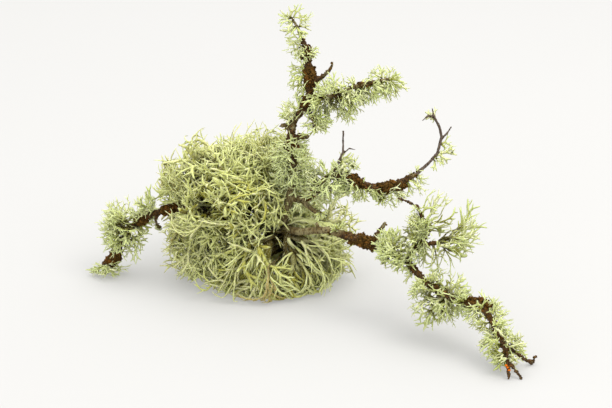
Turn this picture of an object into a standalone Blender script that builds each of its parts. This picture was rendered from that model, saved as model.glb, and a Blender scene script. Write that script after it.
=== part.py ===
"""Lichen on a twig.

A crooked, forked twig carries one big clump of oakmoss, smaller lichen tufts along its
branches and some brown crust. The clump sits on the ground with its underside flat, and the long right
branch comes down like a leg, so the twig stands on the clump, on that leg and on its left tip.

+X is to the right along the longest extent, +Y goes to the back and +Z is up. The origin is
on the flat underside of the clump. Lengths in the lists are millimetres.
"""
import bmesh
import bpy
from mathutils import Vector, noise

MM = 0.001

# Driving dimensions, in millimetres.
GAP = 0.3               # clearance between neighbouring pieces
BRANCH_STEP = 10.0      # length of one straight stretch of a branch
SPUR_STEP = 8.0         # the same on a spur
GROUND_DEPTH = 60.0     # depth of the block that cuts everything off flat at z = 0
GROUND_WIDTH = 600.0    # width of that block

LUMP_ROUGHNESS = 0.14   # how far a lichen lump's surface wanders, as a share of its size
LUMP_GRAIN = 1.7        # how many swellings there are round it
SEED_SCALE = 0.37       # turns a lump's place into its own seed
WELD = 1e-7             # metres; joins a tube's caps to its sides

TUBE_BEVEL = 1          # bevel resolution of a branch, which gives 6 sides
LOBE_GRID = (11, 7)     # segments and rings of a lobe of the big clump
TUFT_GRID = (7, 5)      # the same for a tuft on a branch
BIT_GRID = (6, 4)       # and for a small tuft or a sleeve of crust

# Colour, roughness.
BARK = ((0.20, 0.17, 0.11, 1.0), 0.85)
CRUST = ((0.10, 0.045, 0.015, 1.0), 0.80)
OAKMOSS = ((0.46, 0.48, 0.19, 1.0), 0.90)
GREY_LICHEN = ((0.42, 0.48, 0.24, 1.0), 0.90)

GROUPS = {}
HOLDER_NAME = "lichen_on_a_twig"


# ---- scene helpers -----------------------------------------------------------------------------

def clear_scene():
    for obj in list(bpy.data.objects):
        bpy.data.objects.remove(obj, do_unlink=True)


def make_groups():
    parts = bpy.data.collections.new(HOLDER_NAME)
    cutters = bpy.data.collections.new("cutters")
    cutters.hide_render = True
    for group in (parts, cutters):
        bpy.context.scene.collection.children.link(group)
    GROUPS["parts"] = parts
    GROUPS["cutters"] = cutters
    holder = bpy.data.objects.new(HOLDER_NAME, None)
    parts.objects.link(holder)
    return holder


def place(name, mesh, group, at):
    """Puts a mesh, whose points are relative to `at`, into a collection."""
    obj = bpy.data.objects.new(name, mesh)
    obj.location = Vector(at) * MM
    GROUPS[group].objects.link(obj)
    if group == "cutters":
        obj.hide_render = True
        obj.display_type = "WIRE"
    return obj


def finish(obj, look, holder):
    colour, roughness = look
    material = bpy.data.materials.new(obj.name)
    material.use_nodes = True
    shader = material.node_tree.nodes["Principled BSDF"]
    shader.inputs["Base Color"].default_value = colour
    shader.inputs["Roughness"].default_value = roughness
    shader.inputs["Metallic"].default_value = 0.0
    obj.data.materials.clear()
    obj.data.materials.append(material)
    obj.data.shade_smooth()
    obj.parent = holder


def evaluated_mesh(obj):
    bpy.context.view_layer.update()
    graph = bpy.context.evaluated_depsgraph_get()
    return bpy.data.meshes.new_from_object(obj.evaluated_get(graph))


def combine(obj, other, operation):
    modifier = obj.modifiers.new(operation.lower(), "BOOLEAN")
    modifier.operation = operation
    modifier.object = other


def island_of(start):
    """The vertices that can be reached from one vertex along edges."""
    found = {start}
    waiting = [start]
    while waiting:
        vert = waiting.pop()
        for edge in vert.link_edges:
            other = edge.other_vert(vert)
            if other not in found:
                found.add(other)
                waiting.append(other)
    return found


def area_of(island):
    return sum(face.calc_area() for face in {face for vert in island for face in vert.link_faces})


def bake(obj):
    """Applies the Booleans and drops the crumbs that a cut left beside the largest island."""
    mesh = evaluated_mesh(obj)
    obj.modifiers.clear()
    bm = bmesh.new()
    bm.from_mesh(mesh)
    left = set(bm.verts)
    islands = []
    while left:
        island = island_of(next(iter(left)))
        left -= island
        islands.append(island)
    islands.sort(key=area_of)
    for crumb in islands[:-1]:
        bmesh.ops.delete(bm, geom=list(crumb), context="VERTS")
    bm.to_mesh(mesh)
    bm.free()
    obj.data = mesh


def box_of(obj):
    corners = [obj.matrix_world @ vert.co for vert in obj.data.vertices]
    low = [min(corner[axis] for corner in corners) for axis in range(3)]
    high = [max(corner[axis] for corner in corners) for axis in range(3)]
    return low, high


def boxes_meet(one, other):
    return all(one[0][axis] < other[1][axis] and other[0][axis] < one[1][axis] for axis in range(3))


# ---- branches ----------------------------------------------------------------------------------

def smooth_route(points, step):
    """A Catmull-Rom curve through (x, y, z, radius) points, with a point about every `step`."""
    knots = [Vector(point) for point in points]
    knots.insert(0, knots[0] * 2 - knots[1])
    knots.append(knots[-1] * 2 - knots[-2])
    route = []
    for i in range(1, len(knots) - 2):
        before, here, there, after = knots[i - 1:i + 3]
        span = (there.xyz - here.xyz).length
        count = max(1, round(span / step))
        for k in range(count):
            t = k / count
            bend = 2 * before - 5 * here + 4 * there - after
            swing = 3 * here - before - 3 * there + after
            spot = here + 0.5 * t * ((there - before) + t * (bend + t * swing))
            route.append(spot)
    route.append(knots[-2])
    return route


def stretch(route, extra):
    """The same route, `extra` longer at both ends and thicker all along."""
    longer = [point.copy() for point in route]
    for end, inner in ((0, 1), (-1, -2)):
        outward = (route[end].xyz - route[inner].xyz).normalized()
        longer[end].xyz = route[end].xyz + outward * extra
    for point in longer:
        point.w += extra
    return longer


def tube(name, route, group):
    """A round bar along the route, as a mesh with its caps welded on."""
    start = route[0].xyz
    curve = bpy.data.curves.new(name, "CURVE")
    curve.dimensions = "3D"
    curve.bevel_depth = MM
    curve.bevel_resolution = TUBE_BEVEL
    curve.use_fill_caps = True
    spline = curve.splines.new("POLY")
    spline.points.add(len(route) - 1)
    for point, spot in zip(spline.points, route):
        point.co = ((spot.xyz - start) * MM).to_4d()
        point.radius = spot.w
    guide = bpy.data.objects.new(name + "_guide", curve)
    guide.location = start * MM
    GROUPS["cutters"].objects.link(guide)
    mesh = evaluated_mesh(guide)
    bm = bmesh.new()
    bm.from_mesh(mesh)
    bmesh.ops.remove_doubles(bm, verts=bm.verts, dist=WELD)
    bmesh.ops.recalc_face_normals(bm, faces=bm.faces)
    bmesh.ops.triangulate(bm, faces=bm.faces, quad_method="FIXED")
    bm.to_mesh(mesh)
    bm.free()
    bpy.data.objects.remove(guide, do_unlink=True)
    return place(name, mesh, group, start)


def branch(name, points, spurs=()):
    """One stretch of the twig between main forks, with the small spurs that grow from it."""
    route = smooth_route(points, BRANCH_STEP)
    body = tube(name, route, "parts")
    rooms = [tube(name + "_room", stretch(route, GAP), "cutters")]
    for number, spur in enumerate(spurs):
        spur_route = smooth_route(spur, SPUR_STEP)
        label = f"{name}_spur{number}"
        combine(body, tube(label, spur_route, "cutters"), "UNION")
        rooms.append(tube(label + "_room", stretch(spur_route, GAP), "cutters"))
    return {"body": body, "rooms": rooms, "look": BARK}


def twig():
    """The branches, from the stem outwards: a later one is trimmed to fit the earlier ones."""
    yield branch(
        "twig_stem",
        [(14, -3, 20, 1.9), (12, -8, 28, 2.2), (11, -13, 38, 2.3), (14, -14, 50, 2.3),
         (16, -12, 64, 2.0), (14, -9, 77, 1.8), (16, -7, 87, 1.6), (20, -6, 92, 1.5),
         (23, -5, 95, 1.9), (24, -4, 100, 1.9)],
        spurs=[
            [(15, -8, 82, 1.2), (12, -9, 86, 1.2), (10, -10, 86, 0.9)],
            [(15, -9, 79, 1.2), (19, -11, 81, 1.3), (23, -13, 81, 1.0)],
            [(22, -6, 94, 1.1), (25, -10, 90, 1.0), (27, -12, 85, 0.6)],
        ])
    yield branch(
        "twig_top",
        [(24, -4, 100, 1.7), (24, -2, 107, 1.9), (23, 0, 114, 1.6), (22, 2, 121, 1.3),
         (20, 3, 126, 0.9), (18, 4, 131, 0.8), (15, 5, 136, 0.5)],
        spurs=[[(25, -3, 106, 1.0), (29, -6, 109, 0.9), (33, -8, 113, 0.9), (35, -8, 117, 0.4)]])
    yield branch(
        "twig_side",
        [(24, -4, 99, 1.2), (34, -8, 100, 1.2), (43, -10, 105, 1.2), (52, -8, 107, 1.0),
         (62, -5, 108, 0.8)])
    yield branch(
        "twig_right_inner",
        [(14, -14, 50, 1.8), (21, -20, 51, 1.9), (27, -21, 56, 1.8), (34, -18, 63, 1.6)],
        spurs=[[(20, -19, 50, 1.3), (28, -25, 46, 1.1)]])
    yield branch(
        "twig_right_outer",
        [(34, -18, 63, 1.5), (42, -18, 62, 1.5), (51, -16, 57, 1.6), (58, -14, 54, 1.7),
         (67, -10, 56, 1.5), (76, -6, 59, 1.2)],
        spurs=[[(57, -14, 53, 1.2), (59, -15, 49, 0.9)]])
    yield branch(
        "twig_twiglet",
        [(35, -18, 64, 0.7), (38, -16, 70, 0.6), (40, -14, 74, 0.6), (40, -12, 84, 0.4)],
        spurs=[[(40, -14, 73, 0.4), (43, -12, 75, 0.4), (46, -11, 74, 0.3)]])
    yield branch(
        "twig_hook",
        [(76, -6, 59, 0.9), (82, -2, 63, 0.8), (87, 2, 67, 0.8), (89, 4, 75, 0.8)],
        spurs=[[(89, 4, 74, 0.6), (92, 5, 77, 0.5), (94, 6, 80, 0.5)]])
    yield branch(
        "twig_hook_tip",
        [(89, 4, 75, 0.7), (88, 4, 80, 0.7), (85, 3, 86, 0.7), (82, 2, 87, 0.5), (79, 0, 85, 0.3)],
        spurs=[[(85, 3, 86, 0.6), (84, 5, 90, 0.3)]])
    yield branch(
        "twig_leg_inner",
        [(11, -12, 33, 2.0), (19, -26, 37, 1.9), (33, -36, 42, 1.8), (44, -40, 40, 1.8),
         (54, -43, 38, 1.8), (60, -48, 38, 1.7), (70, -58, 35, 1.5)],
        spurs=[
            [(28, -33, 41, 1.1), (27, -34, 45, 0.7)],
            [(54, -43, 38, 1.3), (57, -41, 43, 1.2), (60, -38, 47, 0.7)],
            [(48, -41, 39, 1.1), (50, -42, 35, 0.7)],
        ])
    yield branch(
        "twig_leg_outer",
        [(70, -58, 35, 1.4), (77, -66, 29, 1.4), (84, -72, 26, 1.3), (92, -78, 24, 1.3),
         (102, -84, 25, 1.4), (107, -92, 20, 1.2), (110, -98, 15, 1.1)])
    yield branch(
        "twig_toe_front",
        [(110, -98, 15, 0.9), (112, -102, 11, 0.9), (113, -106, 6, 0.8), (113, -110, 0.3, 0.5)],
        spurs=[[(113, -105, 7, 0.7), (116, -107, 4, 0.6), (119, -109, 0.4, 0.4)]])
    yield branch(
        "twig_toe_side",
        [(109, -97, 16, 0.9), (114, -99, 11, 0.8), (120, -97, 5, 0.7), (125, -95, 1.2, 0.8),
         (127, -94, 4, 0.5)])
    yield branch(
        "twig_curl",
        [(69, -57, 35, 1.1), (74, -56, 42, 1.1), (79, -54, 48, 0.9), (77, -52, 54, 0.7),
         (74, -50, 60, 0.6), (69, -48, 62, 0.5), (65, -47, 63, 0.3)],
        spurs=[[(75, -56, 43, 1.0), (84, -56, 44, 0.8)]])
    yield branch(
        "twig_left_inner",
        [(11, -11, 33, 1.9), (-3, -8, 35, 1.8), (-14, -4, 37, 1.8), (-26, 0, 39, 1.7),
         (-35, 2, 40, 1.4), (-45, 4, 37, 1.3), (-55, 5, 34, 1.4)],
        spurs=[[(-53, 5, 34, 0.7), (-54, 3, 31, 0.6), (-52, 2, 28, 0.4)]])
    yield branch(
        "twig_left_outer",
        [(-55, 5, 34, 1.3), (-61, 5, 31, 1.4), (-67, 6, 25, 1.3), (-72, 6, 17, 1.3),
         (-75, 6, 10, 1.5), (-81, 6, 5, 1.4)])


# ---- lichen and crust --------------------------------------------------------------------------

def lump(name, spec, grid, seed, extra, group):
    """A swollen egg shape: its centre, its half widths and where the first of those points.
    `extra` makes it that much thicker all round."""
    centre, size, aim = spec
    turn = Vector(aim).to_track_quat("X", "Z")
    segments, rings = grid
    bm = bmesh.new()
    bmesh.ops.create_uvsphere(bm, u_segments=segments, v_segments=rings, radius=1.0)
    for vert in bm.verts:
        way = vert.co.normalized()
        swell = 1 + LUMP_ROUGHNESS * noise.noise(way * LUMP_GRAIN + Vector((seed, 0, 0)))
        spot = Vector([way[axis] * (size[axis] * swell + extra) for axis in range(3)])
        vert.co = turn @ spot * MM
    bmesh.ops.triangulate(bm, faces=bm.faces, quad_method="FIXED")
    mesh = bpy.data.meshes.new(name)
    bm.to_mesh(mesh)
    bm.free()
    return place(name, mesh, group, centre)


def growth(name, look, grid, *lumps):
    """One plant: a lump, or a few that have grown into each other."""
    body = None
    rooms = []
    for number, spec in enumerate(lumps):
        seed = sum(spec[0]) * SEED_SCALE + number
        label = f"{name}_lump{number}"
        rooms.append(lump(label + "_room", spec, grid, seed, GAP, "cutters"))
        if body is None:
            body = lump(name, spec, grid, seed, 0, "parts")
        else:
            combine(body, lump(label, spec, grid, seed, 0, "cutters"), "UNION")
    return {"body": body, "rooms": rooms, "look": look}


def crust():
    """Brown crumbly sleeves and knobs that sit on the bark."""
    for name, *lumps in (
        ("crust_top", ((22, 2, 119), (5.0, 3.8, 3.8), (-1, 0, 3))),
        ("crust_stem_high", ((24, -2, 108), (7.0, 4.0, 4.0), (0, 1, 5))),
        ("crust_stem_bend", ((23, -5, 96), (4.6, 4.0, 4.0), (1, 0, 3))),
        ("crust_stem_low", ((15, -10, 75), (5.0, 3.7, 3.7), (-1, 1, 5))),
        ("crust_right_inner", ((45, -18, 60.5), (6.5, 3.2, 3.2), (2, 0, -1))),
        ("crust_right_outer", ((62, -12, 54.5), (13.0, 3.6, 3.5), (4, 1, 0))),
        ("crust_leg_inner", ((51, -42, 38.5), (11.0, 3.4, 3.5), (3, -1, 0))),
        ("crust_leg_outer", ((101, -83, 25), (7.5, 3.2, 4.2), (2, -1, 0))),
        ("crust_left_inner", ((-46, 4, 37), (7.5, 2.7, 2.7), (3, 0, 1))),
        ("crust_left_knob", ((-61, 5, 30.5), (4.0, 3.2, 3.4), (1, 0, 1))),
        ("crust_left_tip", ((-76, 6, 9), (8.0, 3.7, 3.7), (2, 0, 3))),
    ):
        yield growth(name, CRUST, BIT_GRID, *lumps)


def clump():
    """The oakmoss clump round the stem: separate plants crowded into each other."""
    level = (1, 0, 0)
    for name, *lumps in (
        ("oakmoss_front", ((5, -9, 17), (33, 22, 24), level)),
        ("oakmoss_right", ((27, 2, 26), (18, 22, 27), level)),
        ("oakmoss_left", ((-30, 4, 22), (18, 20, 23), level)),
        ("oakmoss_middle", ((-14, -9, 43), (25, 18, 19), level)),
        ("oakmoss_upper", ((-23, 6, 50), (27.5, 21, 19), level)),
        ("oakmoss_behind_stem", ((4, 8, 58), (20, 17, 19), level)),
        ("oakmoss_back", ((-7, 25, 31), (36, 23, 33), level)),
    ):
        yield growth(name, OAKMOSS, LOBE_GRID, *lumps)


def tufts():
    """The smaller lichens along the branches."""
    level = (1, 0, 0)
    for name, *lumps in (
        ("tuft_side_inner", ((37, -9, 98), (15, 8.5, 11), (4, 0, 1))),
        ("tuft_side_outer", ((58, -7, 103.5), (12, 7, 8), (3, 0, 1))),
        ("tuft_stem_wrap", ((15, -13, 66), (9, 8, 14.5), level)),
        ("tuft_right_inner", ((31, -19, 60), (11, 9, 9), level)),
        ("tuft_curl_left", ((67, -55, 47), (13, 12, 15), level)),
        ("tuft_curl_right", ((85, -54, 49), (13, 10, 15), level)),
        ("tuft_leg_upper", ((84, -72, 23), (14, 12, 13.5), level)),
        ("tuft_leg_middle", ((104, -87, 18), (10, 9, 9.5), level)),
        ("tuft_leg_lower", ((111, -100, 11.5), (9, 8, 7), level)),
        ("tuft_left", ((-69, 6, 25), (13.5, 12, 14.5), level)),
    ):
        yield growth(name, GREY_LICHEN, TUFT_GRID, *lumps)
    for name, *lumps in (
        ("tuft_tip", ((17, 4, 134), (6.5, 5.0, 6.0), level)),
        ("tuft_top_left", ((17, 2, 122), (4.0, 3.5, 5.5), level)),
        ("tuft_stem_left", ((19, -2, 107), (5.0, 5.0, 8.5), level)),
        ("tuft_bend_left", ((15, -6, 92), (4.5, 4.0, 5.0), level)),
        ("tuft_low_spur", ((27, -11, 87), (5, 4.5, 5), level)),
        ("tuft_right_under", ((44, -17, 55), (8, 6, 6), level)),
        ("tuft_right_low", ((63, -12, 51), (7, 5, 4.5), level)),
        ("tuft_right_end", ((75, -7, 55), (5.5, 4, 4), level)),
        ("tuft_twiglet", ((42, -15, 67), (4.5, 4, 4), level)),
        ("tuft_hook", ((91, 3, 69), (3.2, 3, 3.5), level)),
        ("tuft_left_high", ((-59, 5, 39), (4.5, 4, 5.5), level)),
        ("tuft_left_hanging", ((-55, 1, 9), (11, 4.5, 4.5), (2, -1, -4))),
        ("tuft_left_foot", ((-79, 4, 3), (6, 5, 4.5), level)),
    ):
        yield growth(name, GREY_LICHEN, BIT_GRID, *lumps)


# ---- assembly ----------------------------------------------------------------------------------

def make_ground():
    """A block whose top is z = 0; what reaches below is cut off flat on it."""
    bm = bmesh.new()
    bmesh.ops.create_cube(bm, size=1.0)
    size = Vector((GROUND_WIDTH, GROUND_WIDTH, GROUND_DEPTH)) * MM
    bmesh.ops.scale(bm, vec=size, verts=bm.verts)
    mesh = bpy.data.meshes.new("ground")
    bm.to_mesh(mesh)
    bm.free()
    return place("ground", mesh, "cutters", (0, 0, -GROUND_DEPTH / 2))


def main():
    clear_scene()
    holder = make_groups()
    ground = make_ground()
    taken = []
    for plants in (twig, crust, clump, tufts):
        for plant in plants():
            body = plant["body"]
            bake(body)
            reach = box_of(body)
            if reach[0][2] < 0:
                combine(body, ground, "DIFFERENCE")
            for room in taken:
                if boxes_meet(reach, box_of(room)):
                    combine(body, room, "DIFFERENCE")
            bake(body)
            finish(body, plant["look"], holder)
            taken.extend(plant["rooms"])


main()
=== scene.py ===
import math
import random

import bmesh
import bpy
import numpy as np
from mathutils import Matrix, Vector, noise
from mathutils.bvhtree import BVHTree


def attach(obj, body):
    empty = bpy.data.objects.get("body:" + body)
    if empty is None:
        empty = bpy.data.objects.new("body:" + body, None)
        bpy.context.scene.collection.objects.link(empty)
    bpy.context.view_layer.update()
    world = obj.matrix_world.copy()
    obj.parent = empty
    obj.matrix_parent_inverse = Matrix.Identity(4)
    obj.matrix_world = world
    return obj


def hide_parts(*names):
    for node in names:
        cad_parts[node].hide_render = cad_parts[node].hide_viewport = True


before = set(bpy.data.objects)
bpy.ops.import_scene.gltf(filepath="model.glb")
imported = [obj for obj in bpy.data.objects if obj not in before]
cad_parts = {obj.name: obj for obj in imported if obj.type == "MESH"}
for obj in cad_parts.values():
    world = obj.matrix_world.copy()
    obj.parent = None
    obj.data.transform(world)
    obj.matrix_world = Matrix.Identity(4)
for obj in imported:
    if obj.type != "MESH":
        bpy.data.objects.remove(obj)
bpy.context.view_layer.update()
mm = 0.001    # everything grows in millimetres and is written in metres
lowest = 0.1  # bark and crust stay this far above the floor


# camera, light and floor

view = {
    "target": (0.022, 0.0, 0.041),
    "distance": 0.85,
    "elevation": 22.0,
    "lens": 100.0,
    "sensor": 36.0,
}


def placeCamera():
    tilt = math.radians(view["elevation"])
    back = Vector((0, -math.cos(tilt), math.sin(tilt)))
    data = bpy.data.cameras.new("camera")
    data.lens = view["lens"]
    data.sensor_width = view["sensor"]
    camera = bpy.data.objects.new("camera", data)
    camera.location = Vector(view["target"]) + back * view["distance"]
    camera.rotation_euler = back.to_track_quat("Z", "Y").to_euler()
    bpy.context.scene.collection.objects.link(camera)
    bpy.context.scene.camera = camera


studio = {
    "horizon": (0.92, 0.92, 0.92),  # the sky's light at eye level and overhead
    "zenith": (1.70, 1.70, 1.70),
    "lamps": [  # name, place, size in metres, watts, colour
        ("keyLamp", (0.70, -0.45, 1.15), 0.8, 8.3, (1.0, 0.985, 0.95)),
        ("topLamp", (0.10, 0.30, 1.40), 1.2, 9.0, (1.0, 0.995, 0.98)),
        ("fillLamp", (-0.75, -0.85, 0.35), 0.9, 2.6, (1, 1, 1)),
    ],
    "floorColour": (0.300, 0.297, 0.290),
    "floorGlow": 0.315,  # the paper is lit from below too, so its shadows stay light
    "floorWidth": 8.0,
}


def lightStudio():
    world = bpy.data.worlds.new("studioSky")
    bpy.context.scene.world = world
    world.use_nodes = True
    tree = world.node_tree
    height = tree.nodes.new("ShaderNodeSeparateXYZ")
    blend = tree.nodes.new("ShaderNodeMix")
    blend.data_type = "RGBA"
    blend.inputs[6].default_value = (*studio["horizon"], 1)
    blend.inputs[7].default_value = (*studio["zenith"], 1)
    tree.links.new(tree.nodes.new("ShaderNodeTexCoord").outputs["Generated"], height.inputs[0])
    tree.links.new(height.outputs["Z"], blend.inputs[0])
    tree.links.new(blend.outputs[2], tree.nodes["Background"].inputs["Color"])
    for name, place, size, power, colour in studio["lamps"]:
        data = bpy.data.lights.new(name, "AREA")
        data.shape = "DISK"
        data.size = size
        data.energy = power
        data.color = colour
        lamp = bpy.data.objects.new(name, data)
        lamp.location = place
        aim = Vector(place) - Vector(view["target"])
        lamp.rotation_euler = aim.to_track_quat("Z", "Y").to_euler()
        bpy.context.scene.collection.objects.link(lamp)
    bpy.context.scene.view_settings.view_transform = "Standard"


def layFloor():
    half = studio["floorWidth"] / 2
    mesh = bpy.data.meshes.new("floor")
    corners = [(-half, -half, 0), (half, -half, 0), (half, half, 0), (-half, half, 0)]
    mesh.from_pydata(corners, [], [(0, 1, 2, 3)])
    floor = bpy.data.objects.new("floor", mesh)
    bpy.context.scene.collection.objects.link(floor)
    paper = bpy.data.materials.new("palePaper")
    paper.use_nodes = True
    shader = paper.node_tree.nodes["Principled BSDF"]
    shader.inputs["Base Color"].default_value = (*studio["floorColour"], 1)
    shader.inputs["Emission Color"].default_value = (1.0, 0.995, 0.98, 1)
    shader.inputs["Emission Strength"].default_value = studio["floorGlow"]
    shader.inputs["Roughness"].default_value = 0.9
    shader.inputs["Specular IOR Level"].default_value = 0.1
    mesh.materials.append(paper)


placeCamera()
lightStudio()
layFloor()
print("camera, lamps and floor are set")


# the nodes that every finish shares

class finish:
    # a small helper that keeps the node wiring short
    def __init__(self, name):
        self.material = bpy.data.materials.new(name)
        self.material.use_nodes = True
        self.tree = self.material.node_tree
        self.shader = self.tree.nodes["Principled BSDF"]
        self.place = self.tree.nodes.new("ShaderNodeTexCoord").outputs["Object"]

    def link(self, source, target):
        if isinstance(source, (int, float)):
            target.default_value = source
        elif isinstance(source, tuple):
            target.default_value = (*source, 1) if len(source) == 3 else source
        else:
            self.tree.links.new(source, target)

    def grain(self, size, detail=4.0, rough=0.6, stretch=None, warp=0.0):
        # soft noise whose lumps are about size millimetres across
        node = self.tree.nodes.new("ShaderNodeTexNoise")
        node.inputs["Scale"].default_value = 1 / (size * mm)
        node.inputs["Detail"].default_value = detail
        node.inputs["Roughness"].default_value = rough
        node.inputs["Distortion"].default_value = warp
        place = self.place
        if stretch:
            squeeze = self.tree.nodes.new("ShaderNodeMapping")
            squeeze.inputs["Scale"].default_value = stretch
            self.link(place, squeeze.inputs["Vector"])
            place = squeeze.outputs["Vector"]
        self.link(place, node.inputs["Vector"])
        return node.outputs["Fac"]

    def painted(self, name):
        node = self.tree.nodes.new("ShaderNodeAttribute")
        node.attribute_name = name
        return node.outputs["Fac"]

    def ramp(self, value, stops):
        node = self.tree.nodes.new("ShaderNodeValToRGB")
        band = node.color_ramp
        while len(band.elements) < len(stops):
            band.elements.new(0.5)
        for element, (spot, colour) in zip(band.elements, stops):
            element.position = spot
            element.color = (*colour, 1) if isinstance(colour, tuple) else (colour, colour, colour, 1)
        self.link(value, node.inputs["Fac"])
        return node.outputs["Color"]

    def between(self, value, low, high):
        # 0 below low, 1 above high
        node = self.tree.nodes.new("ShaderNodeMapRange")
        node.inputs["From Min"].default_value = low
        node.inputs["From Max"].default_value = high
        self.link(value, node.inputs["Value"])
        return node.outputs["Result"]

    def sum(self, operation, one, two):
        node = self.tree.nodes.new("ShaderNodeMath")
        node.operation = operation
        self.link(one, node.inputs[0])
        self.link(two, node.inputs[1])
        return node.outputs[0]

    def mix(self, share, one, two):
        node = self.tree.nodes.new("ShaderNodeMix")
        node.data_type = "RGBA"
        self.link(share, node.inputs[0])
        self.link(one, node.inputs[6])
        self.link(two, node.inputs[7])
        return node.outputs[2]

    def bump(self, height, strength, depth):
        node = self.tree.nodes.new("ShaderNodeBump")
        node.inputs["Strength"].default_value = strength
        node.inputs["Distance"].default_value = depth * mm
        self.link(height, node.inputs["Height"])
        self.link(node.outputs["Normal"], self.shader.inputs["Normal"])

    def glow(self, share, reach):
        # light that soaks a little way into the skin
        self.shader.inputs["Subsurface Weight"].default_value = share
        self.shader.inputs["Subsurface Radius"].default_value = (1.0, 0.95, 0.6)
        self.shader.inputs["Subsurface Scale"].default_value = reach * mm

    def finished(self, colour, rough, shine=0.25):
        self.link(colour, self.shader.inputs["Base Color"])
        self.link(rough, self.shader.inputs["Roughness"])
        self.shader.inputs["Specular IOR Level"].default_value = shine
        return self.material


def linear(red, green, blue):
    # screen colour, 0 to 255, to the linear values that a shader takes
    def one(value):
        value /= 255
        return value / 12.92 if value <= 0.04045 else ((value + 0.055) / 1.055) ** 2.4

    return (one(red), one(green), one(blue))


# lichen finishes

# root and deep also colour the painted shade deep inside the clump and the tufts
oakmossColours = {
    "root": linear(66, 53, 1),
    "deep": linear(148, 143, 42),
    "body": linear(190, 192, 108),
    "pale": linear(211, 213, 154),
    "tip": linear(195, 201, 131),
    "under": linear(212, 210, 154),
    "dust": linear(228, 230, 194),
    "dead": linear(142, 112, 40),
}

branchLichenColours = {
    "root": linear(70, 60, 3),
    "deep": linear(140, 142, 56),
    "body": linear(186, 194, 116),
    "pale": linear(212, 219, 160),
    "tip": linear(186, 197, 128),
    "under": linear(216, 218, 168),
    "dust": linear(228, 233, 206),
    "dead": linear(150, 104, 40),
}


def lichenFinish(name, tint, patch):
    kit = finish(name)
    tone = kit.painted("tone")
    reach = kit.painted("reach")
    under = kit.painted("under")
    cloud = kit.grain(patch, 3)
    speck = kit.grain(0.45, 3, 0.7)
    shade = kit.sum("ADD", kit.sum("MULTIPLY", tone, 0.5), kit.sum("MULTIPLY", cloud, 0.5))
    # reach falls deep inside, so here and in the root mix below the colour darkens there: painted shade;
    # at a strap's base the root colour is its own
    shade = kit.sum("ADD", shade, kit.sum("MULTIPLY", reach, 0.4))
    top = kit.ramp(shade, [(0.42, tint["deep"]), (0.66, tint["body"]), (1.0, tint["pale"])])
    top = kit.mix(kit.between(reach, 0.60, 1.0), top, tint["tip"])
    top = kit.mix(kit.between(tone, 1.05, 1.4), top, tint["dead"])
    both = kit.mix(kit.between(under, 0.80, 1.0), top, tint["under"])
    both = kit.mix(kit.between(reach, 0.35, 0.05), both, tint["root"])
    powder = kit.sum("MULTIPLY", kit.between(speck, 0.56, 0.66), 0.55)
    colour = kit.mix(powder, both, tint["dust"])
    furrow = kit.sum("ADD", kit.grain(0.9, 2), kit.sum("MULTIPLY", speck, 0.5))
    kit.bump(furrow, 0.55, 0.35)
    kit.glow(0.3, 1.0)
    return kit.finished(colour, kit.between(speck, -2.2, 1.0), 0.2)


# bark and crust finishes

def barkFinish():
    kit = finish("greyBark")
    patch = kit.grain(5.0, 5, 0.65, warp=0.6)
    fine = kit.grain(0.5, 5, 0.7)
    scurf = kit.grain(1.3, 4, 0.7)
    age = kit.painted("crusty")
    thin = kit.painted("thin")
    grey = kit.ramp(
        patch,
        [
            (0.30, linear(54, 40, 18)),
            (0.45, linear(98, 82, 46)),
            (0.58, linear(140, 130, 92)),
            (0.72, linear(80, 62, 28)),
        ],
    )
    grey = kit.mix(kit.between(thin, 0.1, 0.5), grey, linear(92, 78, 68))
    brown = kit.ramp(
        scurf,
        [(0.32, linear(38, 24, 6)), (0.52, linear(78, 52, 20)), (0.72, linear(116, 82, 38))],
    )
    drift = kit.sum("MULTIPLY", kit.sum("SUBTRACT", patch, 0.5), 1.2)
    cover = kit.between(kit.sum("ADD", age, drift), 0.42, 0.58)
    colour = kit.mix(cover, grey, brown)
    spots = kit.between(fine, 0.58, 0.66)
    colour = kit.mix(kit.sum("MULTIPLY", spots, 0.5), colour, linear(168, 166, 130))
    cracks = kit.between(kit.grain(0.8, 3, 0.6, (1, 1, 0.35)), 0.40, 0.46)
    colour = kit.mix(cracks, linear(44, 32, 18), colour)
    kit.bump(kit.sum("ADD", fine, kit.sum("MULTIPLY", scurf, 1.4)), 0.8, 0.5)
    return kit.finished(colour, kit.between(fine, -2.0, 1.0), 0.25)


def crustFinish():
    kit = finish("brownCrust")
    crumb = kit.grain(1.1, 4, 0.65)
    warm = kit.grain(2.6, 3, 0.6)
    fine = kit.grain(0.35, 3, 0.6)
    orange = kit.painted("orange")
    colour = kit.ramp(
        crumb,
        [
            (0.30, linear(32, 21, 2)),
            (0.48, linear(66, 46, 12)),
            (0.62, linear(108, 78, 30)),
            (0.80, linear(158, 120, 62)),
        ],
    )
    rust = kit.sum("MULTIPLY", kit.between(warm, 0.55, 0.68), 0.6)
    colour = kit.mix(rust, colour, linear(148, 92, 34))
    colour = kit.mix(orange, colour, linear(222, 112, 22))
    kit.bump(kit.sum("ADD", crumb, fine), 0.9, 0.4)
    return kit.finished(colour, kit.between(fine, -2.2, 1.0), 0.12)


finishes = {
    "oakmoss": lichenFinish("oakmossSkin", oakmossColours, 7.0),
    "branch_lichen": lichenFinish("branchLichenSkin", branchLichenColours, 5.0),
    "bark": barkFinish(),
    "brown_crust": crustFinish(),
}
print("finishes are mixed")


# rooms: the space that each lichen fills, taken from its plain solid

def pointsOf(name):
    return [v.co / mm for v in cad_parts[name].data.vertices]


def hullOf(name):
    bm = bmesh.new()
    for point in pointsOf(name):
        bm.verts.new(point)
    found = bmesh.ops.convex_hull(bm, input=bm.verts)
    loose = {v for v in found["geom_interior"] + found["geom_unused"] if isinstance(v, bmesh.types.BMVert)}
    bmesh.ops.delete(bm, geom=list(loose), context="VERTS")
    bmesh.ops.triangulate(bm, faces=bm.faces)
    bmesh.ops.recalc_face_normals(bm, faces=bm.faces)
    return bm


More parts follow.
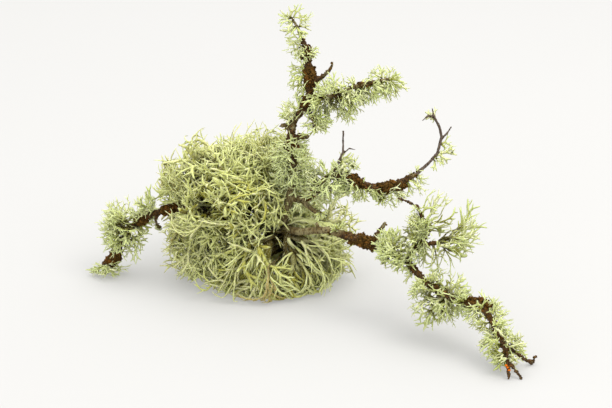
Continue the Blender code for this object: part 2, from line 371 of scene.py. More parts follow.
def remeshed(bm, voxel):
    mesh = bpy.data.meshes.new("scratch")
    bm.to_mesh(mesh)
    holder = bpy.data.objects.new("scratch", mesh)
    bpy.context.scene.collection.objects.link(holder)
    skin = holder.modifiers.new("remesh", "REMESH")
    skin.mode = "VOXEL"
    skin.voxel_size = voxel
    result = bpy.data.meshes.new_from_object(holder.evaluated_get(bpy.context.evaluated_depsgraph_get()))
    bpy.data.objects.remove(holder)
    bpy.data.meshes.remove(mesh)
    return result


def joined(parts):
    whole = bmesh.new()
    scratch = bpy.data.meshes.new("scratch")
    for part in parts:
        part.to_mesh(scratch)
        whole.from_mesh(scratch)
    bpy.data.meshes.remove(scratch)
    return whole


def smoothed(mesh, rounds):
    bm = bmesh.new()
    bm.from_mesh(mesh)
    for _ in range(rounds):
        bmesh.ops.smooth_vert(
            bm, verts=bm.verts, factor=0.5, use_axis_x=True, use_axis_y=True, use_axis_z=True
        )
    bmesh.ops.triangulate(bm, faces=bm.faces)
    return bm


def swollen(mesh, amount):
    bm = bmesh.new()
    bm.from_mesh(mesh)
    bmesh.ops.scale(bm, verts=bm.verts, vec=(1 / mm, 1 / mm, 1 / mm))
    bm.normal_update()
    for vert in bm.verts:
        vert.co += vert.normal * amount
    return bm


def depthIn(room, point):
    near, normal, _, _ = room.find_nearest(point)
    return (near - point).dot(normal), normal


def scattered(bm, count, dice):
    # points spread evenly over a closed skin, with their normals
    bm.faces.ensure_lookup_table()
    areas = [face.calc_area() for face in bm.faces]
    spots = []
    for face in dice.choices(bm.faces, weights=areas, k=count):
        one, two = dice.random(), dice.random()
        if one + two > 1:
            one, two = 1 - one, 1 - two
        a, b, c = (v.co for v in face.verts)
        spots.append((a + (b - a) * one + (c - a) * two, face.normal.copy()))
    return spots


twigNodes = sorted(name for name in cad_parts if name.startswith("twig_"))
crustNodes = sorted(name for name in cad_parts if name.startswith("crust_"))
lobeNodes = sorted(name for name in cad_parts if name.startswith("oakmoss_"))
tuftNodes = sorted(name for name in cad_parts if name.startswith("tuft_"))


def twigSpots(perNode):
    dice = random.Random(11)
    spots = []
    for name in twigNodes:
        bm = bmesh.new()
        bm.from_mesh(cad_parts[name].data)
        bmesh.ops.scale(bm, verts=bm.verts, vec=(1 / mm, 1 / mm, 1 / mm))
        bmesh.ops.triangulate(bm, faces=bm.faces)
        spots += scattered(bm, perNode, dice)
        bm.free()
    return spots


rootSpots = twigSpots(500)
hulls = {name: hullOf(name) for name in lobeNodes + tuftNodes}
clumpSkin = smoothed(remeshed(joined([hulls[name] for name in lobeNodes]), 2.0), 3)
clumpRoom = BVHTree.FromBMesh(clumpSkin)
print("rooms are measured:", len(hulls))


# lichen straps: flat below, ridged above, three points to a ring

strapHabit = {  # what every strap does, in the clump and in the tufts
    "lowest": 0.15,       # straps stay this far above the floor
    "sunk": 0.4,          # the root sits this far inside the bark
    "hubDepth": 1.5,      # where a tuft's straps seem to come from, below the bark
    "neck": 0.8,          # width at the root, as a share of the strap's own
    "bendLasts": 0.8,     # share of a bend and of a twist that the next step keeps
    "twistLasts": 0.85,
    "gapEdge": 3.0,       # straps feel a dark gap this far from its rim
    "lift": 0.6,          # how steeply they turn up over the floor
    "cutRun": 0.8,        # last stretch of a strap that ends early, as a share of its lastRun
    "waver": (0.93, 1.06),
    "paintedShadeInside": 0.85,  # how much darker the finish gets deep inside: painted shade, partly the older thallus's own browner colour
    "deepFrom": 3.0,      # long steps start this far inside the zone
    "tipLength": 0.8,     # from the last ring to the tip, as a share of a step
    "mainArm": (0.3, 0.95),  # at an uneven fork: turn as a share of the spread, and share of the width
    "sideArm": (1.7, 0.7),
    "aimless": 0.8,       # an arm with less than this share of the width has no aim
    "recall": 150,        # latest aims that a new one keeps away from
}


class thallusBed:
    # collects the straps of one piece: points, faces and what the finish reads from them
    def __init__(self):
        self.points = []
        self.faces = []
        self.tone = []
        self.reach = []
        self.under = []

    def point(self, place, tone, reach, under):
        place.z = max(place.z, strapHabit["lowest"])
        self.points.append(place)
        self.tone.append(tone)
        self.reach.append(reach)
        self.under.append(under)
        return len(self.points) - 1


def ringPlaces(place, ahead, face, width, look):
    side = ahead.cross(face)
    half = width / 2
    ridge = width * look["arch"] + look["skin"]
    return [place - side * half, place + face * ridge, place + side * half]


def addRing(bed, places, tone, reach):
    return [bed.point(place, tone, reach, mark) for place, mark in zip(places, (1.0, 0.0, 1.0))]


def joinRings(bed, old, new):
    for i in range(3):
        j = (i + 1) % 3
        bed.faces.append((old[i], old[j], new[j], new[i]))


def closeBase(bed, ring):
    left, top, right = ring
    bed.faces.append((left, right, top))


def closeTip(bed, ring, place, tone, reach):
    tip = bed.point(place, tone, reach, 0.3)
    for i in range(3):
        bed.faces.append((ring[i], ring[(i + 1) % 3], tip))


def turned(vector, axis, angle):
    return Matrix.Rotation(angle, 3, axis) @ vector


def square(face, ahead):
    # the strap's face, set square to the way it grows
    face = face - ahead * face.dot(ahead)
    if face.length < 1e-4:
        face = ahead.orthogonal()
    return face.normalized()


def sway(dice, size):
    return Vector((dice.gauss(0, 1), dice.gauss(0, 1), dice.gauss(0, 1))) * size


def bent(tip, room, look, dice):
    # turns a growing end by one step
    place, ahead, face = tip["place"], tip["ahead"], tip["face"]
    depth, outward = depthIn(room, place)
    tip["bend"] = tip["bend"] * strapHabit["bendLasts"] + sway(dice, look["wander"])
    if tip["stops"]:
        way = tip["stops"][0] - place
        if way.length < look["arrive"]:
            tip["stops"] = tip["stops"][1:]
        else:
            ahead = ahead.lerp(way.normalized(), look["seek"])
    if depth < look["zone"]:
        fan = place - tip["hub"]
        ahead = ahead.lerp(fan.normalized(), look["fan"])
        want = look["rise"] if depth > tip["end"] else look["fallBack"]
        if tip["flows"] and not tip["last"]:
            want = max(-1.0, min(1.0, (depth - tip["layer"]) / look["ease"]))
        ahead = ahead + outward * (want - ahead.dot(outward)) * look["hug"]
        ahead.z -= look["droop"]
    ahead = ahead + face * tip["curl"] + tip["bend"]
    for middle, radius in look["hollows"]:
        away = place - Vector(middle)
        near = 1 - away.length / (radius + strapHabit["gapEdge"])
        if near > 0:
            ahead = ahead + away.normalized() * near * look["parting"]
    low = look["floorGap"] + look["floorEase"] - place.z
    if low > 0:
        share = min(1.0, low / look["floorEase"])
        ahead.z += max(0.0, share * strapHabit["lift"] - ahead.z) * share
    ahead.normalize()
    tip["twist"] = tip["twist"] * strapHabit["twistLasts"] + dice.gauss(0, look["twist"])
    face = square(face + outward * look["lie"], ahead)
    tip["ahead"], tip["face"], tip["depth"] = ahead, turned(face, ahead, tip["twist"]), depth


def reachWithPaintedShade(tip, look):
    # 0 at the root or deep inside, 1 at a tip on the outside; the fall deep inside is painted shade,
    # partly the older thallus's own browner colour
    along = 0.95 if tip["last"] else min(0.9, tip["level"] / look["forks"])
    inside = min(1.0, max(0.0, tip["depth"]) / look["paintedShadeDepth"])
    return along * (1 - inside * strapHabit["paintedShadeInside"])


def growThallus(bed, root, aim, room, look, dice):
    tone = 1.3 if dice.random() < look["dead"] else dice.uniform(*look["tones"])
    start, outward = root
    flows = dice.random() < look["flow"]
    stops = [aim]
    if look["gate"] and flows:
        middle, radius = Vector(look["gate"][0]), look["gate"][1]
        stops = [middle + (aim - middle).normalized() * radius * dice.uniform(0.8, 1.2), aim]
    ahead = ((stops[0] - start).normalized() * look["toward"] + outward).normalized()
    face = square(outward + sway(dice, 0.6), ahead)
    tip = {
        "place": start - outward * strapHabit["sunk"],
        "ahead": ahead,
        "face": face,
        "width": look["width"] * math.exp(dice.gauss(0, look["variety"])),
        "hub": Vector(look["hub"]) if look["hub"] else start - outward * strapHabit["hubDepth"],
        "stops": stops,
        "end": dice.uniform(*look["ends"]),
        "flows": flows,
        "brim": look["brim"] - look["stray"] * dice.random() ** 2,
        "layer": dice.uniform(*look["layers"]),
        "curl": dice.gauss(0, look["curl"]),
        "bend": Vector(),
        "twist": 0.0,
        "depth": 99.0,
        "level": 0,
        "left": look["stem"] * dice.uniform(0.7, 1.3),
        "run": look["stem"],
        "length": 0.0,
        "last": False,
    }
    places = ringPlaces(tip["place"], ahead, face, tip["width"] * strapHabit["neck"], look)
    tip["ring"] = addRing(bed, places, tone, 0.0)
    closeBase(bed, tip["ring"])
    growing = [tip]
    while growing:
        tip = growing.pop()
        stretchOut(bed, tip, tone, room, look, dice)
        if tip["last"] or tip["width"] < look["finest"]:
            way = (tip["ahead"] + tip["face"] * tip["curl"] * 3).normalized()
            end = tip["place"] + way * look["step"] * strapHabit["tipLength"]
            closeTip(bed, tip["ring"], end, tone, reachWithPaintedShade(tip, look))
        else:
            growing += forked(bed, tip, tone, look, dice)


def stretchOut(bed, tip, tone, room, look, dice):
    # grows one end as far as its next fork, or to its tip
    while tip["left"] > 0:
        bent(tip, room, look, dice)
        deep = tip["depth"] > look["zone"] + strapHabit["deepFrom"]
        step = look["step"] * (look["deepStep"] if deep else 1.0)
        tip["place"] = tip["place"] + tip["ahead"] * step
        tip["left"] -= step
        tip["length"] += step
        ahead = max(0.0, tip["left"]) / tip["run"]
        if tip["last"]:
            shape = look["point"] + (1 - look["point"]) * ahead
        else:
            shape = 1 + look["web"] * (1 - min(1.0, ahead)) ** 2
        width = tip["width"] * shape * dice.uniform(*strapHabit["waver"])
        places = ringPlaces(tip["place"], tip["ahead"], tip["face"], width, look)
        ring = addRing(bed, places, tone, reachWithPaintedShade(tip, look))
        joinRings(bed, tip["ring"], ring)
        tip["ring"] = ring
        if tip["last"] or tip["length"] > look["longest"]:
            continue
        inGap = look["stopsAtGaps"] and not freeOf(tip["place"], look["hollows"])
        if tip["depth"] < tip["brim"] or inGap:
            tip["last"] = True
            tip["run"] = tip["left"] = look["lastRun"] * strapHabit["cutRun"]
            continue
        if deep and tip["left"] <= 0 and dice.random() > look["deepForks"]:
            tip["left"] = step * 2
        if not tip["flows"] and tip["depth"] < tip["end"] + look["antler"]:
            tip["level"] = max(tip["level"], look["forks"] - look["antlerForks"])
            tip["flows"] = True
            tip["layer"] = tip["end"] - look["antlerRise"]
            break


def forked(bed, tip, tone, look, dice):
    # two children share one point in the crotch, so the strap stays one closed skin
    uneven = dice.random() < look["uneven"]
    spread = math.radians(look["spread"]) * dice.uniform(0.75, 1.25)
    level = tip["level"]
    if uneven:  # the strap goes on and a short side lobe leaves it
        (mainTurn, mainShare), (sideTurn, sideShare) = strapHabit["mainArm"], strapHabit["sideArm"]
        plans = [
            (spread * mainTurn, mainShare, level + 0.6),
            (spread * sideTurn, sideShare, max(level + 2, look["forks"] - 2)),
        ]
    else:
        plans = [(spread, look["narrow"], level + 1)] * 2
    if dice.random() < 0.5:
        plans.reverse()
    children = []
    for (turn, share, nextLevel), sign in zip(plans, (1, -1)):
        child = dict(tip)
        child["ahead"] = turned(tip["ahead"], tip["face"], sign * turn)
        child["width"] = tip["width"] * share * dice.uniform(0.92, 1.08)
        child["level"] = nextLevel
        child["last"] = child["level"] >= look["forks"] or tip["length"] > look["longest"]
        child["end"] = dice.uniform(*look["ends"])
        child["curl"] = dice.gauss(look["cup"], look["curl"])
        if dice.random() < look["loops"]:
            child["curl"] = dice.choice((-1, 1)) * look["loopCurl"]
        child["bend"] = Vector()
        if share < strapHabit["aimless"]:
            child["stops"] = []
        else:
            child["stops"] = [
                tip["place"] + turned(stop - tip["place"], tip["face"], sign * turn * 0.7)
                for stop in tip["stops"]
            ]
        ripe = min(1.0, child["level"] / look["forks"])
        run = look["run"] + (look["lastRun"] - look["run"]) * ripe
        child["run"] = run * dice.uniform(0.65, 1.35)
        child["left"] = child["run"]
        child["place"] = tip["place"] + child["ahead"] * look["step"]
        child["places"] = ringPlaces(child["place"], child["ahead"], child["face"], child["width"], look)
        children.append(child)
    one, two = children
    reach = reachWithPaintedShade(tip, look)
    crotch = bed.point((one["places"][2] + two["places"][0]) / 2, tone, reach, 0.6)
    left, top, right = tip["ring"]
    oneLeft = bed.point(one["places"][0], tone, reach, 1.0)
    oneTop = bed.point(one["places"][1], tone, reach, 0.0)
    twoTop = bed.point(two["places"][1], tone, reach, 0.0)
    twoRight = bed.point(two["places"][2], tone, reach, 1.0)
    bed.faces += [
        (left, top, oneTop, oneLeft),
        (top, right, twoRight, twoTop),
        (top, twoTop, crotch, oneTop),
        (left, oneLeft, crotch),
        (right, left, crotch),
        (right, crotch, twoRight),
    ]
    one["ring"] = [oneLeft, oneTop, crotch]
    two["ring"] = [crotch, twoTop, twoRight]
    return children


def meshFrom(name, bed):
    mesh = bpy.data.meshes.new(name)
    mesh.from_pydata([place * mm for place in bed.points], [], bed.faces)
    mesh.shade_smooth()
    for key in ("tone", "reach", "under"):
        mesh.attributes.new(key, "FLOAT", "POINT").data.foreach_set("value", getattr(bed, key))
    squareUp(mesh)
    return mesh


def squareUp(mesh):
    # gives each face its own small square of the map that a texture bake draws on
    count = len(mesh.polygons)
    across = math.ceil(math.sqrt(count))
    first = np.empty(count, np.int32)
    sides = np.empty(count, np.int32)
    mesh.polygons.foreach_get("loop_start", first)
    mesh.polygons.foreach_get("loop_total", sides)
    face = np.repeat(np.arange(count), sides)
    corner = np.arange(len(face)) - first[face]
    inset = 0.08
    spots = np.array([(inset, inset), (1 - inset, inset), (1 - inset, 1 - inset), (inset, 1 - inset)])
    cell = np.stack([face % across, face // across], 1)
    places = (cell + spots[corner]) / across
    mesh.uv_layers.new(name="OFBake").uv.foreach_set("vector", places.astype(np.float32).ravel())


def addPiece(name, mesh, finishName, replaced):
    piece = bpy.data.objects.new(name, mesh)
    bpy.context.scene.collection.objects.link(piece)
    mesh.materials.append(finishes[finishName])
    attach(piece, "root")
    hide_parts(*replaced)
    return piece


def freeOf(place, hollows):
    return all((place - Vector(middle)).length > radius for middle, radius in hollows)


def nextAim(aims, used, look, dice):
    # the loneliest of a few picks, so that the straps cover the room evenly
    picks = dice.choices(aims, k=look["picks"])
    recent = used[-strapHabit["recall"]:]
    best = max(picks, key=lambda pick: min(((pick[0] - u).length_squared for u in recent), default=1.0))[0]
    used.append(best)
    return best


def nearestRoot(roots, aim, look, dice):
    tried = dice.choices(roots, k=look["tries"])
    return min(tried, key=lambda root: (root[0] - aim).length)


clumpHollows = [  # dark gaps between the straps: middle and radius
    ((9, -28, 32), 8.0),
    ((-22, -26, 33), 5.0),
    ((-33, -21, 28), 6.0),
    ((-13, -25, 46), 3.5),
    ((-27, -19, 46), 6.0),
    ((-6, -26, 51), 4.0),
    ((16, -30, 17), 3.5),
    ((18, -27, 47), 7.5),
    ((26, -30, 52), 5.0),
    ((-49, -6, 38), 6.0),
    ((-41, -3, 41), 5.5),
    ((-39, -10, 44), 3.5),
    ((-50, -6, 10), 9.0),
    ((-40, -16, -2), 12.0),
    ((-22, -28, -4), 10.0),
]

oakmossLook = {
    "faces": 40000,       # the piece stops when it has this many
    "step": 1.4,          # from one ring to the next
    "deepStep": 2.0,      # deep inside, a step is this many times as long
    "width": 2.0,
    "variety": 0.28,      # how much straps differ in width
    "arch": 0.17,         # height of the ridge for each millimetre of width
    "skin": 0.22,         # and what comes on top of that
    "narrow": 0.84,       # share of the width that an even fork leaves to each arm
    "finest": 0.45,       # a strap this thin comes to its tip
    "web": 0.35,          # how much a strap widens toward its next fork
    "point": 0.55,        # width at the tip, as a share of the last stretch's
    "toward": 2.0,        # how straight it leaves the twig for its aim
    "stem": 10.0,         # first stretch, before any fork
    "run": 4.0,           # from one fork to the next, at the root and at the tips
    "lastRun": 1.7,
    "forks": 8,
    "spread": 28.0,       # degrees that each arm of an even fork turns away
    "uneven": 0.5,        # share of forks that only send out a side lobe
    "zone": 10.0,         # deeper than this a strap only makes for its aim
    "seek": 0.12,         # how strongly it makes for its aim, and how near counts as there
    "arrive": 6.0,
    "gate": None,         # place and radius that straps pass on their way
    "hub": (6, -2, 36),   # straps fan out from here
    "fan": 0.05,
    "rise": 0.6,          # how steeply it climbs through the outer layer
    "fallBack": 0.1,      # and past its end
    "hug": 0.16,          # how soon it takes up that climb
    "ends": (0.0, 7.0),   # depth under the outside at which it has done climbing
    "antler": 4.0,        # this far below its end it breaks up into short tips
    "antlerForks": 3,
    "antlerRise": 5.0,
    "flow": 0.2,          # share that runs along under the surface
    "layers": (2.0, 8.0),
    "ease": 5.0,          # how gently it finds that layer
    "brim": -1.5,         # depth at which straps stop, below zero because it is outside the clump
    "stray": 6.0,         # how much farther out the longest strays go
    "paintedShadeDepth": 15.0,          # depth at which the painted shade inside is at its darkest
    "dead": 0.012,        # share of brown, dead straps
    "tones": (0.0, 1.0),
    "hollows": clumpHollows,
    "parting": 0.4,       # how strongly the gaps turn a strap aside
    "stopsAtGaps": True,
    "picks": 8,           # aims to pick the loneliest from
    "longest": 90.0,
    "deepForks": 0.3,     # share of forks that it keeps deep inside
    "wander": 0.035,
    "droop": 0.02,
    "lie": 0.05,          # how flat its face turns to the outside
    "twist": 0.03,
    "curl": 0.05,
    "cup": -0.02,
    "loops": 0.08,        # share of arms that curl right over
    "loopCurl": 0.28,
    "floorGap": 0.6,
    "floorEase": 4.0,
    "tries": 14,          # roots to pick the nearest from
    "aims": 900,
    "aimDepth": 2.5,      # aims lie no deeper in the clump than this
    "rootDepth": 2.0,     # roots lie no shallower than this
    "rootsNear": ((0, 0, 40), 200.0),
}

lobeHabits = {  # what sets one lobe of the clump apart from the rest
    "oakmoss_front": {
        "faces": 39000, "droop": 0.02, "stem": 7.0, "run": 4.8, "width": 2.7, "narrow": 0.8, "web": 0.45,
        "spread": 23.0, "uneven": 0.78, "wander": 0.018, "curl": 0.06, "loops": 0.05,
        "flow": 0.85, "layers": (0.5, 7.0), "ends": (0.0, 6.0), "brim": -12.0,
        "rootsNear": ((11, -12, 28), 9.5), "hub": (9, -12, 34), "gate": ((9, -26, 33), 10.0),
        "seek": 0.09, "fan": 0.08, "parting": 1.2, "stopsAtGaps": False,
    },
    "oakmoss_middle": {
        "faces": 27000, "run": 3.6, "width": 1.9, "wander": 0.045, "curl": 0.07, "loops": 0.28,
        "flow": 0.15, "layers": (1.5, 8.0), "ends": (0.5, 9.0), "fan": 0.02, "lie": 0.02,
        "tones": (-0.15, 0.6),
    },
    # lighter tones and weaker painted shade inside: painted light on the top of the clump
    "oakmoss_upper": {
        "faces": 28000, "droop": -0.01, "width": 2.0, "spread": 30.0, "wander": 0.04, "loops": 0.14,
        "flow": 0.08, "layers": (2.0, 9.0), "ends": (3.0, 11.0), "fan": 0.015, "stray": 10.0,
        "lastRun": 2.5, "antler": 5.0, "antlerForks": 4, "antlerRise": 9.0,
        "paintedShadeDepth": 24.0, "tones": (0.3, 1.0),
    },
    # lighter tones and weaker painted shade inside: painted light on the top of the clump
    "oakmoss_behind_stem": {
        "faces": 15000, "droop": -0.01, "width": 1.8, "layers": (4.0, 9.0), "ends": (2.0, 10.0),
        "stray": 8.0, "paintedShadeDepth": 26.0, "tones": (0.6, 1.0),
    },
    # lighter tones and weak painted shade inside: painted light on the side that faces the key lamp
    "oakmoss_right": {
        "faces": 16000, "droop": -0.02, "stem": 4.0, "run": 3.2, "width": 1.9, "narrow": 0.88,
        "spread": 34.0, "uneven": 0.35, "wander": 0.05, "loops": 0.12,
        "flow": 0.0, "layers": (3.0, 9.0), "ends": (1.0, 9.0), "brim": -3.0,
        "hub": (14, -14, 30), "fan": 0.04, "paintedShadeDepth": 60.0, "tones": (0.8, 1.0),
    },
    "oakmoss_left": {
        "faces": 16000, "droop": 0.02, "flow": 0.2, "layers": (2.5, 9.0), "ends": (1.0, 8.0),
        "fan": 0.03, "stray": 8.0, "lastRun": 2.3, "antlerRise": 7.0, "paintedShadeDepth": 18.0,
    },
    "oakmoss_back": {
        "faces": 29000, "wander": 0.04, "flow": 0.15, "ends": (2.0, 10.0), "fan": 0.02, "stray": 9.0,
        "lastRun": 2.4, "antler": 5.0, "antlerForks": 4, "antlerRise": 8.0,
    },
}


def growClump():
    roots = [spot for spot in rootSpots if depthIn(clumpRoom, spot[0])[0] > oakmossLook["rootDepth"]]
    for number, name in enumerate(lobeNodes):
        look = {**oakmossLook, **lobeHabits.get(name, {})}
        dice = random.Random(100 + number)
        aims = [
            spot for spot in scattered(hulls[name], look["aims"], dice)
            if depthIn(clumpRoom, spot[0])[0] < look["aimDepth"] and freeOf(spot[0], look["hollows"])
        ]
        middle, radius = look["rootsNear"]
        near = [spot for spot in roots if (spot[0] - Vector(middle)).length < radius]
        bed = thallusBed()
        used = []
        while len(bed.faces) < look["faces"]:
            aim = nextAim(aims, used, look, dice)
            root = nearestRoot(near, aim, look, dice)
            growThallus(bed, root, aim, clumpRoom, look, dice)
        addPiece(name.replace("oakmoss_", "oakmossClump_"), meshFrom(name, bed), "oakmoss", [name])
        print(name, "grown:", len(bed.faces), "faces")


tuftLook = {
    "faces": 5500,
    "step": 0.75,
    "deepStep": 1.0,
    "width": 1.05,
    "variety": 0.25,
    "arch": 0.17,
    "skin": 0.15,
    "narrow": 0.9,
    "finest": 0.28,
    "web": 0.3,
    "point": 0.7,
    "toward": 1.5,
    "stem": 1.8,
    "run": 2.1,
    "lastRun": 1.2,
    "forks": 6,
    "spread": 34.0,
    "uneven": 0.25,
    "zone": 50.0,
    "seek": 0.06,
    "arrive": 3.0,
    "gate": None,
    "hub": None,
    "fan": 0.05,
    "rise": 0.7,
    "fallBack": 0.3,
    "hug": 0.06,
    "ends": (1.0, 6.0),
    "antler": 3.0,
    "antlerForks": 3,
    "antlerRise": 5.0,
    "flow": 0.0,
    "layers": (0.0, 1.0),
    "ease": 2.0,
    "brim": -0.3,
    "stray": 2.5,
    # painted shade deep inside a tuft is at its darkest at this depth
    "paintedShadeDepth": 7.0,
    "dead": 0.0,
    "tones": (0.0, 1.0),
    "bare": None,         # the side of the twig that stays bare
    "hollows": [],
    "parting": 0.0,
    "stopsAtGaps": False,
    "picks": 10,
    "longest": 18.0,
    "deepForks": 1.0,
    "wander": 0.05,
    "droop": 0.0,
    "lie": 0.03,
    "twist": 0.05,
    "curl": 0.06,
    "cup": -0.03,
    "loops": 0.08,
    "loopCurl": 0.2,
    "floorGap": 0.5,
    "floorEase": 2.0,
    "tries": 40,
    "aims": 300,
    "rootDepth": 0.3,     # bark this deep in the tuft's room can carry a root
    "fewestRoots": 20,
    "bareRoots": 0.5,     # how closely bark must face the bare side to stay without roots
    "bareAims": 0.75,     # and the same for aims
}

legBare = (0.1, -0.9, 0.45)
sideBare = (0.1, -0.5, 0.85)

tuftHabits = {
    "tuft_curl_left": {"faces": 14000, "droop": 0.02},
    "tuft_curl_right": {
        "faces": 6200, "run": 4.2, "lastRun": 2.3, "width": 1.4, "step": 0.9, "spread": 25.0, "stem": 5.0,
        "ends": (-1.0, 4.0), "fan": 0.02, "brim": -2.5, "uneven": 0.5, "web": 0.15, "tones": (-0.5, 0.1),
    },
    "tuft_left": {"faces": 13000},
    "tuft_leg_upper": {"faces": 11500, "bare": legBare},
    "tuft_leg_middle": {"faces": 5600, "bare": legBare, "tones": (0.0, 0.6)},
    "tuft_leg_lower": {"faces": 4800, "bare": legBare, "tones": (0.0, 0.4)},
    "tuft_side_inner": {"faces": 11500, "droop": 0.02},
    "tuft_side_outer": {"faces": 6000, "droop": 0.03, "bare": sideBare},
    # lighter tones and almost no painted shade inside: painted light on a tuft that lies in the shade of
    # the side tufts
    "tuft_stem_wrap": {"faces": 10500, "run": 1.8, "forks": 5, "paintedShadeDepth": 60.0, "tones": (0.9, 1.0)},
    "tuft_right_inner": {"faces": 8500, "paintedShadeDepth": 30.0, "tones": (0.6, 1.0)},
    "tuft_hook": {"faces": 260, "longest": 4.5},
    "tuft_left_high": {"faces": 1700},
    "tuft_left_hanging": {"faces": 1400, "run": 4.0, "width": 1.6, "forks": 4},
    "tuft_left_foot": {"faces": 1900},
    "tuft_low_spur": {"faces": 2000},
    "tuft_bend_left": {"faces": 1300},
    "tuft_top_left": {"faces": 650},
    "tuft_tip": {"faces": 1100},
    "tuft_stem_left": {"faces": 1500},
    "tuft_twiglet": {"faces": 1100},
    "tuft_right_end": {"faces": 900},
    "tuft_right_low": {"faces": 2000},
    "tuft_right_under": {"faces": 3400},
}


def onBareSide(way, look, most):
    return look["bare"] and way.normalized().dot(Vector(look["bare"]).normalized()) > most


def growTufts():
    for number, name in enumerate(tuftNodes):
        look = {**tuftLook, **tuftHabits.get(name, {})}
        dice = random.Random(500 + number)
        room = BVHTree.FromBMesh(hulls[name])
        ranked = sorted(rootSpots, key=lambda spot: -depthIn(room, spot[0])[0])
        inside = sum(depthIn(room, spot[0])[0] > look["rootDepth"] for spot in rootSpots)
        roots = ranked[: max(look["fewestRoots"], inside)]
        roots = [root for root in roots if not onBareSide(root[1], look, look["bareRoots"])]
        aims = scattered(hulls[name], look["aims"], dice)
        aims = [spot for spot in aims if not onBareSide(spot[1], look, look["bareAims"])]
        bed = thallusBed()
        used = []
        while len(bed.faces) < look["faces"]:
            aim = nextAim(aims, used, look, dice)
            root = nearestRoot(roots, aim, look, dice)
            growThallus(bed, root, aim, room, look, dice)
        addPiece(name.replace("tuft_", "lichenTuft_"), meshFrom(name, bed), "branch_lichen", [name])
    print("tufts grown:", len(tuftNodes))


# little rosettes where no tuft grows

speckLook = {
    **tuftLook,
    "width": 0.95,
    "stem": 1.0,
    "run": 1.2,
    "lastRun": 0.8,
    "forks": 2,
    "step": 0.6,
    "longest": 4.0,
    "straps": (3, 5),     # in one rosette
    "spread": 30.0,
}

speckRuns = {  # how many rosettes each stretch of twig has
    "twig_hook": 1,
    "twig_hook_tip": 1,
    "twig_right_outer": 6,
    "twig_right_inner": 4,
    "twig_top": 5,
    "twig_stem": 5,
    "twig_leg_inner": 3,
    "twig_leg_outer": 10,
    "twig_curl": 2,
    "twig_toe_side": 1,
    "twig_left_inner": 3,
    "twig_left_outer": 3,
}


def growSpecks():
    bed = thallusBed()
    dice = random.Random(41)
    for name, count in speckRuns.items():
        skin = swollen(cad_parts[name].data, 0.1)
        bmesh.ops.triangulate(skin, faces=skin.faces)
        for place, outward in scattered(skin, count, dice):
            if depthIn(clumpRoom, place)[0] > -2:
                continue
            ball = bmesh.new()
            bmesh.ops.create_icosphere(ball, subdivisions=2, radius=3.2)
            bmesh.ops.translate(ball, verts=ball.verts, vec=place + outward)
            room = BVHTree.FromBMesh(ball)
            for _ in range(dice.randint(*speckLook["straps"])):
                aim = place + outward * 3 + sway(dice, 2.0)
                growThallus(bed, (place + sway(dice, 0.4), outward), aim, room, speckLook, dice)
            ball.free()
        skin.free()
    addPiece("lichenSpecks", meshFrom("specks", bed), "branch_lichen", [])
    print("rosettes grown:", len(bed.faces), "faces")


# bark of the whole twig

barkLook = {
    "voxel": 0.40,       # grain of the skin, in millimetres
    "swell": 0.08,       # helps to close the gaps between its stretches
    "wrinkle": 0.16,
    "knot": 0.28,
    "slender": ["twig_hook", "twig_hook_tip", "twig_twiglet"],
    "brown": ["twig_toe_front", "twig_toe_side", "twig_curl", "twig_leg_outer"],
    "scurf": 0.9,        # how much the brown scurf thickens it
}


def paint(mesh, key, values):
    mesh.attributes.new(key, "FLOAT", "POINT").data.foreach_set("value", values)


def makeBark():
    whole = joined([swollen(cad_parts[name].data, barkLook["swell"]) for name in twigNodes])
    skin = smoothed(remeshed(whole, barkLook["voxel"]), 2)
    bmesh.ops.join_triangles(
        skin, faces=skin.faces, angle_face_threshold=3.0, angle_shape_threshold=3.0
    )
    skin.normal_update()
    crusts = [BVHTree.FromBMesh(swollen(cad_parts[name].data, 0)) for name in crustNodes]
    slender = [BVHTree.FromBMesh(swollen(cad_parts[name].data, 0)) for name in barkLook["slender"]]
    browned = [BVHTree.FromBMesh(swollen(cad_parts[name].data, 0)) for name in barkLook["brown"]]
    crusty = []
    thin = []
    for vert in skin.verts:
        place = vert.co.copy()
        wave = noise.fractal(Vector((place.x, place.y, place.z * 0.5)) * 0.9, 0.7, 2.1, 4)
        lump = noise.noise(place * 0.35)
        gap = min(tree.find_nearest(place)[3] for tree in crusts)
        gap = min(gap, 3 + 6 * min(tree.find_nearest(place)[3] for tree in browned))
        crusty.append(max(0.0, 1 - gap / 9))
        slim = min(tree.find_nearest(place)[3] for tree in slender)
        thin.append(max(0.0, 1 - slim / 0.9))
        vert.co += vert.normal * (wave * barkLook["wrinkle"] + lump * barkLook["knot"] * 0.5)
        rough = 0.25 + noise.fractal(place * 0.8 + Vector((9, 0, 0)), 0.6, 2.0, 3)
        vert.co += vert.normal * max(0.0, crusty[-1] - thin[-1]) * rough * barkLook["scurf"]
        vert.co.z = max(vert.co.z, lowest)
    mesh = bpy.data.meshes.new("twig")
    bmesh.ops.scale(skin, verts=skin.verts, vec=(mm, mm, mm))
    skin.to_mesh(mesh)
    mesh.shade_smooth()
    paint(mesh, "crusty", crusty)
    paint(mesh, "thin", thin)
    addPiece("twigBark", mesh, "bark", twigNodes)
    print("bark made:", len(mesh.polygons), "faces")


# brown crust

crustLook = {
    "voxel": 0.42,
    "crumb": 1.3,
    "shrink": 1.0,       # the skin lies this far inside the plain solid, and the flakes fill it out
    "flakes": 200,
    "flakeSize": (0.5, 1.25),
}


def addFlake(bm, place, outward, size, dice):
    # a little curled leaf standing on the crust
    tilt = (outward + Vector((dice.gauss(0, 0.7), dice.gauss(0, 0.7), dice.gauss(0, 0.7)))).normalized()
    turn = tilt.to_track_quat("Z", "Y").to_matrix()
    made = bmesh.ops.create_icosphere(bm, subdivisions=1, radius=size)["verts"]
    curl = dice.uniform(0.2, 0.6)
    for vert in made:
        flat = Vector((vert.co.x, vert.co.y * dice.uniform(0.6, 0.9), vert.co.z * 0.35))
        flat.z += (flat.x * flat.x) / size * curl
        vert.co = place + turn @ flat


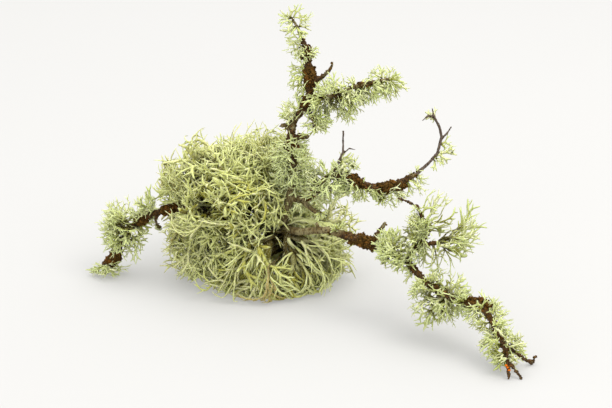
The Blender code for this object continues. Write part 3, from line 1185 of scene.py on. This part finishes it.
def makeCrusts():
    for number, name in enumerate(crustNodes):
        dice = random.Random(900 + number)
        body = smoothed(remeshed(swollen(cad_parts[name].data, 0.0), crustLook["voxel"]), 1)
        body.normal_update()
        for vert in body.verts:
            wave = noise.fractal(vert.co * 0.75 + Vector((number, 0, 0)), 0.6, 2.0, 4)
            vert.co += vert.normal * (wave * crustLook["crumb"] - crustLook["shrink"])
        for place, outward in scattered(body, crustLook["flakes"], dice):
            addFlake(body, place, outward, dice.uniform(*crustLook["flakeSize"]), dice)
        for vert in body.verts:
            vert.co.z = max(vert.co.z, lowest)
        bmesh.ops.scale(body, verts=body.verts, vec=(mm, mm, mm))
        mesh = bpy.data.meshes.new(name)
        body.to_mesh(mesh)
        mesh.shade_smooth()
        paint(mesh, "orange", [0.0] * len(mesh.vertices))
        addPiece(name.replace("crust_", "brownCrust_"), mesh, "brown_crust", [name])
    print("crusts made:", len(crustNodes))


crumbRuns = {  # crumbs on each stretch of twig, and the part of it that they keep to
    "twig_leg_outer": (520, lambda p: True),
    "twig_leg_inner": (260, lambda p: p.x > 33),
    "twig_right_outer": (240, lambda p: True),
    "twig_right_inner": (120, lambda p: p.z > 52),
    "twig_stem": (260, lambda p: p.z > 66),
    "twig_top": (140, lambda p: p.z < 128),
    "twig_side": (110, lambda p: True),
    "twig_left_inner": (180, lambda p: p.x < -36),
    "twig_left_outer": (170, lambda p: True),
    "twig_curl": (130, lambda p: p.z < 56),
    "twig_toe_front": (24, lambda p: True),
    "twig_toe_side": (16, lambda p: True),
}


crumbLook = {
    "swell": 0.15,        # crumbs sit this far out from the plain bark
    "patch": 0.3,         # how quickly crowded and empty patches follow each other
    "crowd": -0.15,       # no crumbs where the patches are emptier than this
    "size": (0.4, 0.95),
    "grows": 0.9,         # how much larger crumbs get in a crowded patch
    "orangeSize": 0.8,
}

orangeSpots = [(112.6, -107.6, 5.2), (113.2, -108.2, 4.2), (111.9, -107.4, 6.2)]


def scatterCrumbs():
    dice = random.Random(77)
    bm = bmesh.new()
    for name, (count, wanted) in crumbRuns.items():
        skin = swollen(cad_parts[name].data, crumbLook["swell"])
        bmesh.ops.triangulate(skin, faces=skin.faces)
        for place, outward in scattered(skin, count, dice):
            crowd = noise.noise(place * crumbLook["patch"])
            if wanted(place) and crowd > crumbLook["crowd"]:
                size = dice.uniform(*crumbLook["size"]) * (1 + crowd * crumbLook["grows"])
                addFlake(bm, place, outward, size, dice)
        skin.free()
    plain = len(bm.verts)
    for place in orangeSpots:
        addFlake(bm, Vector(place), Vector((0, -1, 0.6)), crumbLook["orangeSize"], dice)
    for vert in bm.verts:
        vert.co.z = max(vert.co.z, lowest)
    orange = [0.0] * plain + [1.0] * (len(bm.verts) - plain)
    bmesh.ops.scale(bm, verts=bm.verts, vec=(mm, mm, mm))
    mesh = bpy.data.meshes.new("crumbs")
    bm.to_mesh(mesh)
    mesh.shade_smooth()
    paint(mesh, "orange", orange)
    addPiece("crumbsOnTwig", mesh, "brown_crust", [])
    print("crumbs scattered:", len(mesh.polygons), "faces")


growClump()
growTufts()
growSpecks()
makeBark()
makeCrusts()
scatterCrumbs()
